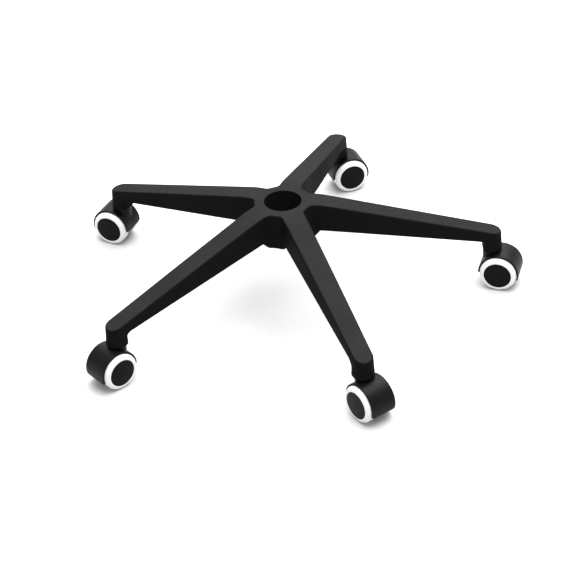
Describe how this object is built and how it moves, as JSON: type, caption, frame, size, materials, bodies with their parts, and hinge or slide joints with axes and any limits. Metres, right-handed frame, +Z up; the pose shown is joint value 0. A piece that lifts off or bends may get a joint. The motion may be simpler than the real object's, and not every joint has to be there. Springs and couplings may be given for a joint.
{
  "type": "office chair star base",
  "caption": "Moulded star base of an office chair: sloping ribbed arms round a tapered gas-lift socket, with a swivelling twin-wheel caster under each arm end.",
  "frame": {"origin": "centre of the gas-lift socket's mouth, on the hub's flat top face", "axes": "+Z up along the socket's axis, out of its mouth; +X along one arm; +Y completes a right-handed frame"},
  "size_m": [0.5943, 0.6079, 0.1511],
  "materials": {
    "moulded_black_nylon": "injection moulded, matt",
    "satin_black_nylon": "injection moulded, satin",
    "white_soft_tread": "moulded polyurethane, satin",
    "plated_steel": "turned and zinc plated",
    "spring_steel": "hardened and oiled"
  },
  "bodies": {
    "base": {"star_base": "moulded_black_nylon", "caster_stem_1": "plated_steel", "stem_grip_ring_1": "spring_steel", "stem_retaining_ring_1": "spring_steel", "caster_stem_2": "plated_steel", "stem_grip_ring_2": "spring_steel", "stem_retaining_ring_2": "spring_steel", "caster_stem_3": "plated_steel", "stem_grip_ring_3": "spring_steel", "stem_retaining_ring_3": "spring_steel", "caster_stem_4": "plated_steel", "stem_grip_ring_4": "spring_steel", "stem_retaining_ring_4": "spring_steel", "caster_stem_5": "plated_steel", "stem_grip_ring_5": "spring_steel", "stem_retaining_ring_5": "spring_steel"},
    "caster_1": {"caster_hood_1": "satin_black_nylon", "wheel_axle_1": "plated_steel"},
    "wheel_1_left": {"wheel_body_1_left": "satin_black_nylon", "wheel_tread_1_left": "white_soft_tread"},
    "wheel_1_right": {"wheel_body_1_right": "satin_black_nylon", "wheel_tread_1_right": "white_soft_tread"},
    "caster_2": {"caster_hood_2": "satin_black_nylon", "wheel_axle_2": "plated_steel"},
    "wheel_2_left": {"wheel_body_2_left": "satin_black_nylon", "wheel_tread_2_left": "white_soft_tread"},
    "wheel_2_right": {"wheel_body_2_right": "satin_black_nylon", "wheel_tread_2_right": "white_soft_tread"},
    "caster_3": {"caster_hood_3": "satin_black_nylon", "wheel_axle_3": "plated_steel"},
    "wheel_3_left": {"wheel_body_3_left": "satin_black_nylon", "wheel_tread_3_left": "white_soft_tread"},
    "wheel_3_right": {"wheel_body_3_right": "satin_black_nylon", "wheel_tread_3_right": "white_soft_tread"},
    "caster_4": {"caster_hood_4": "satin_black_nylon", "wheel_axle_4": "plated_steel"},
    "wheel_4_left": {"wheel_body_4_left": "satin_black_nylon", "wheel_tread_4_left": "white_soft_tread"},
    "wheel_4_right": {"wheel_body_4_right": "satin_black_nylon", "wheel_tread_4_right": "white_soft_tread"},
    "caster_5": {"caster_hood_5": "satin_black_nylon", "wheel_axle_5": "plated_steel"},
    "wheel_5_left": {"wheel_body_5_left": "satin_black_nylon", "wheel_tread_5_left": "white_soft_tread"},
    "wheel_5_right": {"wheel_body_5_right": "satin_black_nylon", "wheel_tread_5_right": "white_soft_tread"}
  },
  "joints": [
    {"name": "caster_1_swivel", "type": "hinge", "parent": "base", "child": "caster_1", "pos_m": [0.2795, 0, -0.0964], "axis": [0, 0, 1], "continuous": true},
    {"name": "wheel_1_left_spin", "type": "hinge", "parent": "caster_1", "child": "wheel_1_left", "pos_m": [0.29186, -0.00402, -0.1261], "axis": [0.309, 0.9511, 0], "continuous": true},
    {"name": "wheel_1_right_spin", "type": "hinge", "parent": "caster_1", "child": "wheel_1_right", "pos_m": [0.29186, -0.00402, -0.1261], "axis": [0.309, 0.9511, 0], "continuous": true},
    {"name": "caster_2_swivel", "type": "hinge", "parent": "base", "child": "caster_2", "pos_m": [0.08637, 0.26582, -0.0964], "axis": [0, 0, 1], "continuous": true},
    {"name": "wheel_2_left_spin", "type": "hinge", "parent": "caster_2", "child": "wheel_2_left", "pos_m": [0.09879, 0.26966, -0.1261], "axis": [-0.2957, 0.9553, 0], "continuous": true},
    {"name": "wheel_2_right_spin", "type": "hinge", "parent": "caster_2", "child": "wheel_2_right", "pos_m": [0.09879, 0.26966, -0.1261], "axis": [-0.2957, 0.9553, 0], "continuous": true},
    {"name": "caster_3_swivel", "type": "hinge", "parent": "base", "child": "caster_3", "pos_m": [-0.22612, 0.16429, -0.0964], "axis": [0, 0, 1], "continuous": true},
    {"name": "wheel_3_left_spin", "type": "hinge", "parent": "caster_3", "child": "wheel_3_left", "pos_m": [-0.2376, 0.17039, -0.1261], "axis": [-0.4695, -0.8829, 0], "continuous": true},
    {"name": "wheel_3_right_spin", "type": "hinge", "parent": "caster_3", "child": "wheel_3_right", "pos_m": [-0.2376, 0.17039, -0.1261], "axis": [-0.4695, -0.8829, 0], "continuous": true},
    {"name": "caster_4_swivel", "type": "hinge", "parent": "base", "child": "caster_4", "pos_m": [-0.22612, -0.16429, -0.0964], "axis": [0, 0, 1], "continuous": true},
    {"name": "wheel_4_left_spin", "type": "hinge", "parent": "caster_4", "child": "wheel_4_left", "pos_m": [-0.23622, -0.17247, -0.1261], "axis": [0.6293, -0.7771, 0], "continuous": true},
    {"name": "wheel_4_right_spin", "type": "hinge", "parent": "caster_4", "child": "wheel_4_right", "pos_m": [-0.23622, -0.17247, -0.1261], "axis": [0.6293, -0.7771, 0], "continuous": true},
    {"name": "caster_5_swivel", "type": "hinge", "parent": "base", "child": "caster_5", "pos_m": [0.08637, -0.26582, -0.0964], "axis": [0, 0, 1], "continuous": true},
    {"name": "wheel_5_left_spin", "type": "hinge", "parent": "caster_5", "child": "wheel_5_left", "pos_m": [0.09364, -0.2766, -0.1261], "axis": [0.829, 0.5592, 0], "continuous": true},
    {"name": "wheel_5_right_spin", "type": "hinge", "parent": "caster_5", "child": "wheel_5_right", "pos_m": [0.09364, -0.2766, -0.1261], "axis": [0.829, 0.5592, 0], "continuous": true}
  ]
}
